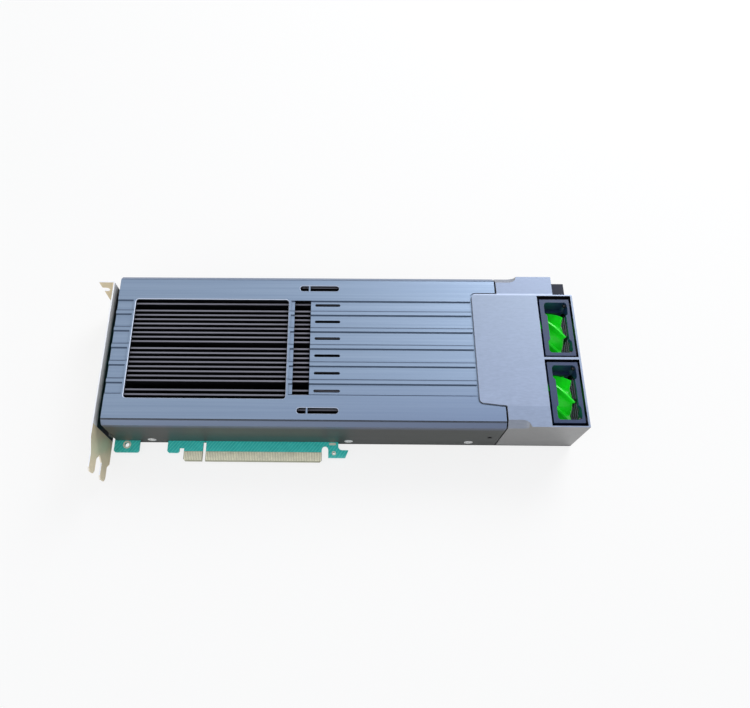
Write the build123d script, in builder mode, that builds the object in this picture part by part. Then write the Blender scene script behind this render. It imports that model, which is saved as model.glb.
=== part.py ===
# Two-slot drive adapter card with a shrouded heatsink and two edge-on fans.
# X runs from the slot bracket to the tail, Y from the edge contacts to the far side,
# Z up from the back plate the card lies on. All sizes in mm.
# Places are given as u, from the card's datum towards the tail, and v, from the contact edge.
import os
from build123d import *

os.makedirs("parts", exist_ok=True)

# Card, contact edge and bracket, from the slot standard
card_len = 284.4
card_h = 111.15
board_t = 1.57
key_at = 57.15
key_w = 1.9
short_len = 11.65
long_len = 71.65
edge_depth = 8.25
edge_cut = 1.2
contact_pitch = 1.0
contact_w = 0.7
contact_len = 5.4
contact_in = 0.5
contact_t = 0.08
bracket_h = 120.02
bracket_w = 38.74
bracket_back = 1.7
flange_len = 10.0
flange_v = 106.2
sheet = 0.86
slot_pitch = 20.32
tab_w = 10.19

# Heights of the stack above the rest plane
plate_t = 1.5
board_gap = 0.88
rail_h = 5.6
base_t = 4.0
cover_top = 38.1
shroud_step = 0.55
roof_t = 2.0

# Sheet and clearances
wall = 1.5
bevel = 2.9
inner_bevel = 1.7
fit = 0.25
plate_cut = 0.3

# Board tabs
board_x0 = 0.94
ring_tab_x1 = 16.6
shoulder_x0 = 34.2
shoulder_x1 = 41.6
tab_v = 5.2
tab_cut = 0.9
key_gap_r = 1.9
hook_gap = 4.05
neck_w = 6.2
neck_r = 2.4
hook_len = 12.4
hook_slant = 2.0
hook_v0 = 2.9
hook_v1 = 7.6
ring_x, ring_v, ring_hole_r, ring_r = 8.8, 9.9, 1.4, 2.5
dot_in, dot_v, dot_hole_r, dot_r = 3.5, 5.6, 0.7, 1.3
pad_in, pad_v, pad_len, pad_w = 2.6, 11.4, 4.4, 1.5

# Cover, window, flutes, vent band and slots
cover_x0 = 1.8
side_v = 12.6
tail_len = 47.4
seam_gap = 0.9
panel_near, panel_far = 18.4, 17.55
win_x0, win_x1 = 13.1, 108.6
win_near, win_far = 16.1, 17.05
win_r = 1.8
rim = 1.5
flute_n = 6
flute_pitch = 11.35
rib_w = 2.2
flute_d = 0.8
crease_w = 0.9
vent_x0, vent_x1 = 112.4, 122.4
slit_x0, slit_x1 = 125.0, 140.6
slit_w = 1.7
side_slot_x, side_slot_len, side_slot_w = 127.6, 24.2, 3.5
side_slot_in = 8.9
slot_bar_x, slot_bar_w = 121.3, 1.0
slot_rim = 0.4
side_hole_in, side_hole_z, side_hole_r = 5.9, 16.5, 1.5

# Tail shroud: tongue, bevel run-out, fan bays and corner notch
tongue_len = 14.8
tongue_near, tongue_far = 14.6, 12.35
tongue_flare = 2.0
tongue_r = 2.5
tail_bevel_v, tail_bevel_z = 4.2, 3.5
runout_back = 11.5
runout_len = 5.5
runout_steps = 4
end_wall = 1.1
divider = 1.5
bay_lip = 0.7
notch_len = 11.8
notch_w = 12.65
boss_w = 5.2
boss_h = 10.0
boss_back = 2.2
guard_in = 1.4
guard_w = 1.3
guard_pitch = 3.4
guard_n = 8

# Fans, lying edge-on in the bays
fan_d = 18.2
fan_stand = 1.0
fan_front = 1.5
fan_side = 1.4
fan_sunk = 1.0
bore_wall = 1.4
tip_gap = 0.45
hub_r = 10.4
cup_x0, cup_x1 = 3.4, 15.2
cup_wall = 1.0
cup_end = 1.6
cup_round = 1.4
blade_n = 7
root_in, root_chord, root_t, root_turn = 2.9, 12.0, 1.2, -34
mid_turn = -43
tip_chord, tip_t, tip_turn, tip_over = 16.0, 0.8, -50, 1.5
shaft_r = 1.0
shaft_clear = 0.05
shaft_start = 0.4
base_r = 8.6
frame_floor = 2.0
strut_w = 2.0
tube_r = 3.0
tube_end = 10.0
tube_floor = 0.8
winding_gap = 1.0
core_r, tooth_r, tooth_len, tooth_w = 4.2, 5.2, 3.4, 3.0
port_in = 2.6
port_len = 14.2
port_waist = 11.6
port_end = 9.0
port_edge = 2.0
port_floor = 7.5
fan_hole_in = 2.9
fan_screw_deep = 3.0

# Screws
m3_r = 1.45
m3_head_r = 2.65
m3_drive_r = 1.0
pan_head_r, pan_head_t, pan_drive_r, pan_round = 2.7, 1.9, 1.3, 0.8
sink_head_r = 2.0
fan_screw_r = 1.2
fan_head_r = 2.2
fan_drive_r = 0.8
slack = 0.05
side_screw_lift = 2.25
side_screw_x0, side_screw_x1, side_screw_back = 24.6, 146.3, 17.0
rail_screw_x0, rail_screw_x1, rail_screw_back = 46.0, 132.0, 11.0
sink_screw_x0, sink_screw_x1, sink_screw_back = 34.0, 120.0, 18.0
back_screw_len = 7.5
sink_screw_deep = 2.5
bracket_screw_deep = 6.0

# Rails, spacers and heatsink
rail_w = 4.5
rail_short = 1.5
lug_len = 8.0
lug_w = 8.65
spacer_r = 2.2
board_back = 27.9
strip_back = 2.4
sink_x0 = 6.0
sink_back = 6.5
fin_w = 1.0
fin_rows = ((5, 5.9), (8, 4.6), (8, 4.8), (5, 0))
fin_near, fin_far = 8.55, 5.7
fin_clear = 0.3

# Switch chip, coils and cans at the bracket end
chip_x, chip_shift, chip_w, lid_w = 31.0, -0.3, 35.0, 28.0
carrier_t = 1.2
chip_t = 2.4
pad_t = 0.85
coil_x0, coil_pitch, coil_n, coil_w, coil_h = 18.0, 11.0, 3, 7.0, 4.0
coil_near, coil_far = 8.4, 8.15
can_x, can_pitch, can_r, can_h = 49.0, 7.0, 2.5, 5.0

# Stick drives across the board
drive_x0 = 66.0
drive_pitch = 24.2
drive_tail = 16.0
drive_w = 22.0
drive_near, drive_far = 3.9, 2.65
drive_t = 0.8
drive_lift = 2.4
flash_w, flash_len, flash_pitch = 14.0, 18.0, 21.0
flash_t = 1.2
drive_pad_w, drive_pad_in = 20.0, 7.5
socket_side, socket_grip, socket_back, socket_up = 0.5, 4.1, 2.3, 1.3
post_r, post_hole_r, stud_r = 2.6, 1.6, 1.5
drive_head_t = 0.9

# Power inlet at the far tail corner
inlet_back, inlet_len = 2.8, 18.6
inlet_side = 0.6
inlet_w = 9.6
inlet_z0, inlet_z1 = 20.4, 34.2
riser_len = 9.0
cell_pitch = 4.2
cell_w = 3.4
cell_deep = 11.0
pin_w = 1.0
pin_short = 3.0

# Bracket sheet
body_low_top, body_low = 4.7, -2.0
fork_v, tab_root_v, tip_cut = -1.1, -4.5, 2.0
flange_notch_w, flange_notch_d = 4.4, 4.2
bend_r = 0.75
vent_n = 15
vent_near, vent_far = 10.4, 9.55
vent_z, vent_row = 18.3, 10.1
vent_w, vent_h = 3.2, 8.1

# Derived places
mid_x = (card_len - bracket_back - flange_len) / 2
mid_v = (card_h + flange_v - bracket_h) / 2
shroud_top = cover_top + shroud_step
board_z = plate_t + board_gap
board_top = board_z + board_t
rail_top = board_top + rail_h
base_top = rail_top + base_t
far_v = card_h
near_in, far_in = side_v + wall, far_v - wall
board_v0, board_v1 = near_in + fit, far_in - fit
near_rail_v, far_rail_v = near_in + rail_w / 2, far_in - rail_w / 2
edge_x0 = key_at - key_w / 2 - short_len
edge_x1 = key_at + key_w / 2 + long_len
neck_x0 = edge_x1 + hook_gap
neck_x1 = neck_x0 + neck_w
board_end = card_len - board_back
rail_end = board_end - rail_short
sink_x1 = board_end - sink_back
seam_x = card_len - tail_len
panel_v0, panel_v1 = side_v + panel_near, far_v - panel_far
win_v0, win_v1 = side_v + win_near, far_v - win_far
mid_panel = (panel_v0 + panel_v1) / 2
notch_x, notch_v = card_len - notch_len, far_v - notch_w
fan_x1 = card_len - end_wall - fan_stand
fan_x0 = fan_x1 - fan_d
bay_x0 = fan_x0 - fan_front
bay_w = (notch_v - near_in - 2 * divider) / 2
divider_v = near_in + bay_w
fan_v = (near_in + bay_w / 2, divider_v + divider + bay_w / 2)
fan_w = bay_w - 2 * fan_side
fan_h = shroud_top - fan_sunk - plate_t
fan_z = plate_t + fan_h / 2
bore_r = fan_h / 2 - bore_wall
blade_r = bore_r - tip_gap
side_screw_z = board_top + side_screw_lift
side_screw_x = (side_screw_x0, side_screw_x1, seam_x - side_screw_back)
rail_screw_x = (rail_screw_x0, rail_screw_x1, rail_end - rail_screw_back)
sink_screw_x = (sink_screw_x0, sink_screw_x1, sink_x1 - sink_screw_back)
lug_v0 = far_in - rail_w - lug_w
bracket_hole = ((near_rail_v, side_screw_z), (lug_v0 + lug_w / 2, side_screw_z))
tail_screw = ((bay_x0 - boss_back, near_in + boss_w / 2), (bay_x0 - boss_back, divider_v + divider / 2))


def px(u):
    return u - mid_x


def py(v):
    return v - mid_v


def spots(us, vs):
    """Every crossing of the given u and v places."""
    return [(px(u), py(v)) for u in us for v in vs]


def block(u0, u1, v0, v1, z0, z1, mode=Mode.ADD):
    with Locations((px((u0 + u1) / 2), py((v0 + v1) / 2), (z0 + z1) / 2)):
        return Box(u1 - u0, v1 - v0, z1 - z0, mode=mode)


def area(u0, u1, v0, v1, mode=Mode.ADD):
    with Locations((px((u0 + u1) / 2), py((v0 + v1) / 2))):
        return Rectangle(u1 - u0, v1 - v0, mode=mode)


def outline(points, mode=Mode.ADD):
    return Polygon(*[(px(u), py(v)) for u, v in points], align=None, mode=mode)


def hanging_tab(u0, u1, v0, v1, cut):
    """Tab towards the contact side with its two low corners chamfered."""
    return outline([(u0, v1), (u0, v0 + cut), (u0 + cut, v0), (u1 - cut, v0), (u1, v0 + cut), (u1, v1)])


def across(u):
    """Plane square to the card's length, its local axes along Y and Z."""
    return Plane(origin=(px(u), 0, 0), x_dir=(0, 1, 0), z_dir=(1, 0, 0))


def shell_section(top, inset, drop, cut_v, cut_z):
    """Cover cross-section seen along the card, its two top corners bevelled."""
    v0, v1, z1 = side_v + inset, far_v - inset, top - drop
    return Polygon((py(v0), plate_t), (py(v1), plate_t), (py(v1), z1 - cut_z), (py(v1 - cut_v), z1),
                   (py(v0 + cut_v), z1), (py(v0), z1 - cut_z), align=None)


def save(piece, name):
    piece.part.label = name
    export_step(piece.part, "parts/" + name + ".step")


rail_spots = spots(rail_screw_x, (near_rail_v, far_rail_v))
sink_spots = spots(sink_screw_x, (near_rail_v, far_rail_v))
back_spots = rail_spots + [(px(u), py(v)) for u, v in tail_screw]

# Circuit board with its locating tab, keyed contact edge and hooked latch tab
with BuildPart() as board:
    with BuildSketch(Plane.XY.offset(board_z)) as board_plan:
        area(board_x0, board_end, board_v0, board_v1)
        area(board_end, card_len - strip_back, notch_v + fit, board_v1)
        hanging_tab(board_x0, ring_tab_x1, tab_v, board_v0, tab_cut)
        hanging_tab(shoulder_x0, shoulder_x1, tab_v, board_v0, tab_cut)
        area(shoulder_x1, neck_x0, edge_depth, board_v0)
        hanging_tab(edge_x0, edge_x1, 0, board_v0, edge_cut)
        outline([(neck_x0, board_v0), (neck_x0, hook_v0), (neck_x0 + hook_len - hook_slant, hook_v0),
                 (neck_x0 + hook_len, hook_v1), (neck_x1, hook_v1), (neck_x1, board_v0)])
        fillet(board_plan.vertices().sort_by_distance((px(neck_x1), py(hook_v1)))[0], neck_r)
        with Locations((px(key_at), py(edge_depth / 2))):
            SlotOverall(2 * edge_depth, key_w, rotation=90, mode=Mode.SUBTRACT)
        with Locations((px((edge_x1 + neck_x0) / 2), py(edge_depth))):
            Circle(key_gap_r, mode=Mode.SUBTRACT)
        with Locations((px(ring_x), py(ring_v))):
            Circle(ring_hole_r, mode=Mode.SUBTRACT)
        with Locations((px(neck_x0 + dot_in), py(dot_v))):
            Circle(dot_hole_r, mode=Mode.SUBTRACT)
        with Locations(rail_spots):
            Circle(m3_r + slack, mode=Mode.SUBTRACT)
    extrude(amount=board_t)
save(board, "board")

# Plated rings round the two open holes of the tabs and a pad on the hook's neck, both faces
with BuildPart() as rings:
    for z in (board_top, board_z - contact_t):
        with BuildSketch(Plane.XY.offset(z)):
            with Locations((px(ring_x), py(ring_v))):
                Circle(ring_r)
                Circle(ring_hole_r, mode=Mode.SUBTRACT)
            with Locations((px(neck_x0 + dot_in), py(dot_v))):
                Circle(dot_r)
                Circle(dot_hole_r, mode=Mode.SUBTRACT)
            with Locations((px(neck_x0 + pad_in), py(pad_v))):
                SlotOverall(pad_len, pad_w)
        extrude(amount=contact_t)
save(rings, "plated_rings")

# Gold edge contacts on both faces, one group either side of the key
with BuildPart() as contacts:
    for z in (board_top + contact_t / 2, board_z - contact_t / 2):
        for group_x0, group_x1 in ((edge_x0, key_at - key_w / 2), (key_at + key_w / 2, edge_x1)):
            contact_n = int((group_x1 - group_x0) / contact_pitch)
            with Locations((px((group_x0 + group_x1) / 2), py(contact_in + contact_len / 2), z)):
                with GridLocations(contact_pitch, contact_pitch, contact_n, 1):
                    Box(contact_w, contact_len, contact_t)
save(contacts, "edge_contacts")

# Back plate the card lies on, and the spacers that hold the board off it
with BuildPart() as back_plate:
    with BuildSketch():
        area(cover_x0, card_len, side_v, far_v)
    extrude(amount=plate_t)
    chamfer(back_plate.faces().sort_by(Axis.Z)[0].edges(), plate_cut)
    with Locations(*[Location((x, y, 0), (180, 0, 0)) for x, y in back_spots]):
        CounterSinkHole(m3_r + slack, m3_head_r, depth=plate_t, counter_sink_angle=90)
save(back_plate, "back_plate")

with BuildPart() as spacers:
    with BuildSketch(Plane.XY.offset(plate_t)):
        with Locations(rail_spots):
            Circle(spacer_r)
            Circle(m3_r + slack, mode=Mode.SUBTRACT)
    extrude(amount=board_gap)
save(spacers, "board_spacers")

# Side rails on the board: the cover, bracket, heatsink and back plate screw into them
for name, rail_v, end_hole in (("side_rail_near", near_rail_v, bracket_hole[0]),
                               ("side_rail_far", far_rail_v, bracket_hole[1])):
    with BuildPart() as rail:
        block(-bracket_back, rail_end, rail_v - rail_w / 2, rail_v + rail_w / 2, board_top, rail_top)
        if end_hole[0] != rail_v:
            block(-bracket_back, lug_len, lug_v0, lug_v0 + lug_w, board_top, rail_top)
        with Locations([(px(u), py(rail_v), board_top + rail_h / 2) for u in rail_screw_x + sink_screw_x]):
            Cylinder(m3_r, rail_h, mode=Mode.SUBTRACT)
        with Locations([(px(u), py(rail_v), side_screw_z) for u in side_screw_x]):
            Cylinder(m3_r, rail_w, rotation=(90, 0, 0), mode=Mode.SUBTRACT)
        with Locations((px(lug_len / 2 - bracket_back), py(end_hole[0]), end_hole[1])):
            Cylinder(m3_r, lug_len, rotation=(0, 90, 0), mode=Mode.SUBTRACT)
    save(rail, name)

# Tongue of the tail shroud, and the recess in the cover that it lies in with a gap all round
tongue_x = seam_x - tongue_len
tongue_v0, tongue_v1 = side_v + tongue_near, far_v - tongue_far
tongue_root = seam_x + seam_gap + wall


def tongue_plan(grow):
    """Tongue outline, flared on its near side, with its two free corners rounded."""
    with BuildSketch(Plane.XY.offset(cover_top - flute_d)) as plan:
        outline([(tongue_x - grow, tongue_v0 - grow), (tongue_root, tongue_v0 - tongue_flare - grow),
                 (tongue_root, tongue_v1 + grow), (tongue_x - grow, tongue_v1 + grow)])
        fillet(plan.vertices().group_by(Axis.X)[0], tongue_r + grow)
    return plan.sketch


# Brushed top cover: bevelled long edges, fluted panel, fin window, vent band and slots
ribs = [mid_panel + (i - flute_n / 2) * flute_pitch for i in range(1, flute_n)]
flute_starts = [panel_v0] + [v + rib_w / 2 for v in ribs]
flute_ends = [v - rib_w / 2 for v in ribs] + [panel_v1]
slit_v = [mid_panel + (i - (flute_n - 1) / 2) * flute_pitch for i in range(flute_n)]
slot_v = (side_v + side_slot_in, far_v - side_slot_in)
with BuildPart() as top_cover:
    with BuildSketch(across(cover_x0)):
        shell_section(cover_top, 0, 0, bevel, bevel)
    extrude(amount=seam_x - cover_x0)
    with BuildSketch(across(cover_x0)):
        shell_section(cover_top, wall, roof_t, inner_bevel, inner_bevel)
    extrude(amount=seam_x - cover_x0, mode=Mode.SUBTRACT)
    for u0, u1 in ((cover_x0, win_x0 - rim), (win_x1 + rim, seam_x)):
        with BuildSketch(across(u0)):
            for v0, v1 in zip(flute_starts, flute_ends):
                Polygon((py(v0), cover_top), (py(v1), cover_top), (py(v1 - flute_d), cover_top - flute_d),
                        (py(v0 + flute_d), cover_top - flute_d), align=None)
        extrude(amount=u1 - u0, mode=Mode.SUBTRACT)
    with BuildSketch(across(cover_x0)):
        for v in (side_v + bevel, far_v - bevel):
            Polygon((py(v - crease_w / 2), cover_top), (py(v + crease_w / 2), cover_top),
                    (py(v), cover_top - crease_w / 2), align=None)
    extrude(amount=seam_x - cover_x0, mode=Mode.SUBTRACT)
    with BuildSketch(Plane.XY.offset(cover_top)):
        with Locations((px((win_x0 + win_x1) / 2), py((win_v0 + win_v1) / 2))):
            RectangleRounded(win_x1 - win_x0, win_v1 - win_v0, win_r)
        area(vent_x0, vent_x1, panel_v0, panel_v1)
        with Locations(spots([(slit_x0 + slit_x1) / 2], slit_v)):
            SlotOverall(slit_x1 - slit_x0, slit_w)
        with Locations(spots([side_slot_x], slot_v)):
            SlotOverall(side_slot_len, side_slot_w)
        for v in slot_v:
            area(slot_bar_x - slot_bar_w / 2, slot_bar_x + slot_bar_w / 2,
                 v - side_slot_w / 2, v + side_slot_w / 2, Mode.SUBTRACT)
    extrude(amount=-roof_t, mode=Mode.SUBTRACT)
    with BuildSketch(Plane.XY.offset(cover_top)):
        with Locations(spots([side_slot_x], slot_v)):
            SlotOverall(side_slot_len + 2 * slot_rim, side_slot_w + 2 * slot_rim)
        with Locations((px((win_x0 + win_x1) / 2), py((win_v0 + win_v1) / 2))):
            RectangleRounded(win_x1 - win_x0 + 2 * slot_rim, win_v1 - win_v0 + 2 * slot_rim, win_r + slot_rim)
    extrude(amount=-slot_rim, taper=45, mode=Mode.SUBTRACT)
    extrude(tongue_plan(seam_gap), amount=roof_t, mode=Mode.SUBTRACT)
    for u0, u1 in ((cover_x0, ring_tab_x1 + 2 * fit), (shoulder_x0 - 2 * fit, neck_x1 + 2 * fit)):
        block(u0, u1, side_v, near_in, plate_t, board_top + fit, Mode.SUBTRACT)
    for v, turn in ((side_v, 90), (far_v, -90)):
        with Locations(*[Location((px(u), py(v), side_screw_z), (turn, 0, 0)) for u in side_screw_x]):
            CounterSinkHole(m3_r + slack, m3_head_r, depth=wall, counter_sink_angle=90)
        with Locations(Location((px(seam_x - side_hole_in), py(v), side_hole_z), (turn, 0, 0))):
            Hole(side_hole_r, depth=wall)
save(top_cover, "top_cover")

# Tail shroud: tongue over the panel, bevels running out into a sharp box round two fan bays
shroud_x0 = seam_x + seam_gap
runout_x0 = bay_x0 - runout_back - runout_len
fan_hole_y, fan_hole_z = fan_w / 2 - fan_hole_in, fan_h / 2 - fan_hole_in
fan_holes = [(v + a, fan_z + b) for v in fan_v for a in (-fan_hole_y, fan_hole_y)
             for b in (-fan_hole_z, fan_hole_z)]
with BuildPart() as shroud:
    with BuildSketch(across(shroud_x0)):
        shell_section(shroud_top, 0, 0, tail_bevel_v, tail_bevel_z)
    extrude(amount=runout_x0 - shroud_x0)
    for i in range(runout_steps):
        for k in (i, i + 1):
            left = (1 - (k / runout_steps) ** 2) ** 0.5
            with BuildSketch(across(runout_x0 + runout_len * k / runout_steps)):
                shell_section(shroud_top, 0, 0, max(tail_bevel_v * left, slack), max(tail_bevel_z * left, slack))
        loft(ruled=True)
    block(runout_x0 + runout_len, card_len, side_v, far_v, plate_t, shroud_top)
    with BuildSketch(across(shroud_x0)):
        shell_section(shroud_top, wall, roof_t, inner_bevel, inner_bevel)
    extrude(amount=card_len - end_wall - shroud_x0, mode=Mode.SUBTRACT)
    block(notch_x, card_len, notch_v, far_v, plate_t, shroud_top, Mode.SUBTRACT)
    block(bay_x0, card_len, notch_v - divider, notch_v, plate_t, shroud_top)
    block(bay_x0 - boss_back - boss_w / 2, card_len, divider_v, divider_v + divider, plate_t, shroud_top)
    for v, near_lip, far_lip in zip(fan_v, (bay_lip, 0), (0, bay_lip)):
        block(bay_x0, card_len - end_wall, v - bay_w / 2 - near_lip, v + bay_w / 2 + far_lip,
              shroud_top - roof_t - inner_bevel, shroud_top, Mode.SUBTRACT)
        with BuildSketch(across(card_len)):
            with Locations((py(v), fan_z)):
                Circle(bore_r - guard_in)
                Rectangle(guard_w, 2 * bore_r, mode=Mode.SUBTRACT)
                with GridLocations(guard_pitch, guard_pitch, 1, guard_n):
                    Rectangle(2 * bore_r, guard_w, mode=Mode.SUBTRACT)
        extrude(amount=-end_wall, mode=Mode.SUBTRACT)
    extrude(tongue_plan(0), amount=shroud_step + flute_d)
    for u, v in tail_screw:
        with Locations((px(u), py(v), plate_t + boss_h / 2)):
            Box(boss_w, boss_w, boss_h)
            Cylinder(m3_r, boss_h, mode=Mode.SUBTRACT)
    with BuildSketch(across(card_len - end_wall)):
        with Locations([(py(v), z) for v, z in fan_holes]):
            Circle(fan_head_r)
    extrude(amount=-fan_stand)
    with Locations(*[Location((px(card_len), py(v), z), (0, 90, 0)) for v, z in fan_holes]):
        CounterSinkHole(fan_screw_r + slack, fan_head_r, depth=end_wall + fan_stand, counter_sink_angle=90)
save(shroud, "tail_shroud")

# Heatsink: a base on the rails with a foot over the switch chip, and fins bonded along the air path
fin_top = cover_top - roof_t - fin_clear
chip_v = mid_panel + chip_shift
lid_top = board_top + chip_t
with BuildPart() as heatsink:
    block(sink_x0, sink_x1, board_v0, board_v1, rail_top, base_top)
    block(chip_x - lid_w / 2, chip_x + lid_w / 2, chip_v - lid_w / 2, chip_v + lid_w / 2,
          lid_top + pad_t, rail_top)
    with Locations([(x, y, base_top - base_t / 2) for x, y in sink_spots]):
        Cylinder(m3_r + slack, base_t, mode=Mode.SUBTRACT)
save(heatsink, "heatsink")

fin_span = far_in - fin_far - near_in - fin_near
fin_pitch = (fin_span - sum(gap for _, gap in fin_rows)) / sum(count - 1 for count, _ in fin_rows)
with BuildPart() as fins:
    v = near_in + fin_near
    for count, gap in fin_rows:
        for i in range(count):
            block(sink_x0, sink_x1, v - fin_w / 2, v + fin_w / 2, base_top, fin_top)
            v += fin_pitch
        v += gap - fin_pitch
save(fins, "heatsink_fins")

with BuildPart() as switch_chip:
    block(chip_x - chip_w / 2, chip_x + chip_w / 2, chip_v - chip_w / 2, chip_v + chip_w / 2,
          board_top, board_top + carrier_t)
    block(chip_x - lid_w / 2, chip_x + lid_w / 2, chip_v - lid_w / 2, chip_v + lid_w / 2,
          board_top + carrier_t, lid_top)
save(switch_chip, "switch_chip")

with BuildPart() as chip_pad:
    block(chip_x - lid_w / 2, chip_x + lid_w / 2, chip_v - lid_w / 2, chip_v + lid_w / 2,
          lid_top, lid_top + pad_t)
save(chip_pad, "chip_pad")

# Power coils and cans beside the switch chip
sides = (near_in + rail_w + coil_near, far_in - rail_w - coil_far)
with BuildPart() as coils:
    with Locations([(px(coil_x0 + i * coil_pitch), py(v), board_top + coil_h / 2)
                    for i in range(coil_n) for v in sides]):
        Box(coil_w, coil_w, coil_h)
save(coils, "power_coils")

with BuildPart() as cans:
    with Locations([(px(can_x), py(v + a), board_top + can_h / 2)
                    for v in sides for a in (-can_pitch / 2, can_pitch / 2)]):
        Cylinder(can_r, can_h)
save(cans, "power_cans")

# Stick drives laid from rail to rail, each in a socket at the far side and on a post at the near
drive_n = 1 + int((board_end - drive_tail - drive_x0) / drive_pitch)
drive_u = [drive_x0 + drive_pitch * i for i in range(drive_n)]
drive_v0, drive_v1 = near_in + rail_w + drive_near, far_in - rail_w - drive_far
drive_mid = (drive_v0 + drive_v1) / 2
drive_z = board_top + drive_lift
drive_top = drive_z + drive_t
post_spots = spots(drive_u, [drive_v0])
with BuildPart() as drive_boards:
    for u in drive_u:
        block(u - drive_w / 2, u + drive_w / 2, drive_v0, drive_v1, drive_z, drive_top)
    with Locations([(x, y, drive_z + drive_t / 2) for x, y in post_spots]):
        Cylinder(post_hole_r, drive_t, mode=Mode.SUBTRACT)
save(drive_boards, "drive_boards")

with BuildPart() as drive_chips:
    with Locations([(px(u), py(drive_mid + i * flash_pitch), drive_top + flash_t / 2)
                    for u in drive_u for i in (-1, 0, 1)]):
        Box(flash_w, flash_len, flash_t)
save(drive_chips, "drive_chips")

with BuildPart() as drive_pads:
    for u in drive_u:
        block(u - drive_pad_w / 2, u + drive_pad_w / 2, drive_v0 + drive_pad_in, drive_v1 - drive_pad_in,
              drive_top + flash_t, rail_top)
save(drive_pads, "drive_pads")

with BuildPart() as drive_sockets:
    for u in drive_u:
        block(u - drive_w / 2 - socket_side, u + drive_w / 2 + socket_side, drive_v1 - socket_grip,
              drive_v1 + socket_back, board_top, drive_top + socket_up)
        block(u - drive_w / 2, u + drive_w / 2, drive_v1 - socket_grip, drive_v1, drive_z, drive_top,
              Mode.SUBTRACT)
save(drive_sockets, "drive_sockets")

with BuildPart() as drive_posts:
    with BuildSketch(Plane.XY.offset(board_top)):
        with Locations(post_spots):
            Circle(post_r)
    extrude(amount=drive_lift)
    with BuildSketch(Plane.XY.offset(drive_z)):
        with Locations(post_spots):
            Circle(stud_r)
    extrude(amount=drive_t)
save(drive_posts, "drive_posts")

with BuildPart() as drive_screws:
    with BuildSketch(Plane.XY.offset(drive_top)):
        with Locations(post_spots):
            Circle(post_r)
            RegularPolygon(m3_drive_r, 6, mode=Mode.SUBTRACT)
    extrude(amount=drive_head_t)
save(drive_screws, "drive_screws")

# Power inlet at the far tail corner, on a riser from the board's strip
inlet_x1 = card_len - inlet_back
inlet_x0 = inlet_x1 - inlet_len
inlet_v0 = notch_v + inlet_side
cells = [(inlet_v0 + inlet_w / 2 + a * cell_pitch / 2, (inlet_z0 + inlet_z1) / 2 + b * cell_pitch)
         for a in (-1, 1) for b in (-1, 0, 1)]
with BuildPart() as inlet:
    block(inlet_x0, inlet_x1, inlet_v0, inlet_v0 + inlet_w, inlet_z0, inlet_z1)
    for v, z in cells:
        block(inlet_x1 - cell_deep, inlet_x1, v - cell_w / 2, v + cell_w / 2, z - cell_w / 2, z + cell_w / 2,
              Mode.SUBTRACT)
save(inlet, "power_inlet")

with BuildPart() as inlet_pins:
    for v, z in cells:
        block(inlet_x1 - cell_deep, inlet_x1 - pin_short, v - pin_w / 2, v + pin_w / 2,
              z - pin_w / 2, z + pin_w / 2)
save(inlet_pins, "inlet_pins")

with BuildPart() as riser:
    block(inlet_x0, inlet_x0 + riser_len, inlet_v0, inlet_v0 + inlet_w, board_top, inlet_z0)
save(riser, "inlet_riser")

# Two-slot bracket: sheet face with tapered slot tabs and exhaust slots, screw flange bent outward
face_u = -bracket_back
tab_side = (bracket_w - slot_pitch - tab_w) / 2
tab_tip = flange_v - bracket_h
tab_z = (tab_side, tab_side + slot_pitch)
flange_edge = face_u - flange_len
vent_v0, vent_v1 = near_in + vent_near, far_in - vent_far
fork = [(fork_v, tab_z[0] + (slot_pitch + tab_w) / 2)]


def tab_points(z0):
    """One slot tab, from its upper root round its chamfered tip to its lower root."""
    z1 = z0 + tab_w
    return [(tab_root_v, z1), (tab_tip + tip_cut, z1), (tab_tip, z1 - tip_cut), (tab_tip, z0 + tip_cut),
            (tab_tip + tip_cut, z0), (tab_root_v, z0)]


with BuildPart() as bracket:
    with BuildSketch(across(face_u)):
        Polygon(*[(py(v), z) for v, z in
                  [(flange_v, 0), (flange_v, bracket_w), (body_low_top, bracket_w)]
                  + tab_points(tab_z[1]) + fork + tab_points(tab_z[0]) + [(body_low, 0)]], align=None)
        with Locations((py((vent_v0 + vent_v1) / 2), vent_z)):
            with GridLocations((vent_v1 - vent_v0) / (vent_n - 1), vent_row, vent_n, 2):
                Rectangle(vent_w, vent_h, mode=Mode.SUBTRACT)
        with Locations([(py(v), z) for v, z in bracket_hole]):
            Circle(m3_r + slack, mode=Mode.SUBTRACT)
    extrude(amount=-sheet)
    block(flange_edge, face_u, flange_v - sheet, flange_v, 0, bracket_w)
    for z in tab_z:
        block(flange_edge, flange_edge + flange_notch_d - flange_notch_w / 2, flange_v - sheet, flange_v,
              z + (tab_w - flange_notch_w) / 2, z + (tab_w + flange_notch_w) / 2, Mode.SUBTRACT)
        with Locations((px(flange_edge + flange_notch_d - flange_notch_w / 2), py(flange_v - sheet / 2),
                        z + tab_w / 2)):
            Cylinder(flange_notch_w / 2, sheet, rotation=(90, 0, 0), mode=Mode.SUBTRACT)
    fillet(bracket.edges().filter_by(Axis.Z).sort_by_distance((px(face_u), py(flange_v), bracket_w / 2))[0],
           bend_r)
save(bracket, "bracket")


# Screws, head face at the local origin, shank down the local Z axis
def countersunk(head_r, r, length, drive):
    with BuildPart() as screw:
        with BuildSketch(Plane.XZ):
            Polygon((0, 0), (head_r, 0), (r, r - head_r), (r, -length), (0, -length), align=None)
        revolve(axis=Axis.Z)
        with BuildSketch():
            RegularPolygon(drive, 6)
        extrude(amount=-drive, mode=Mode.SUBTRACT)
    return screw.part


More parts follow.
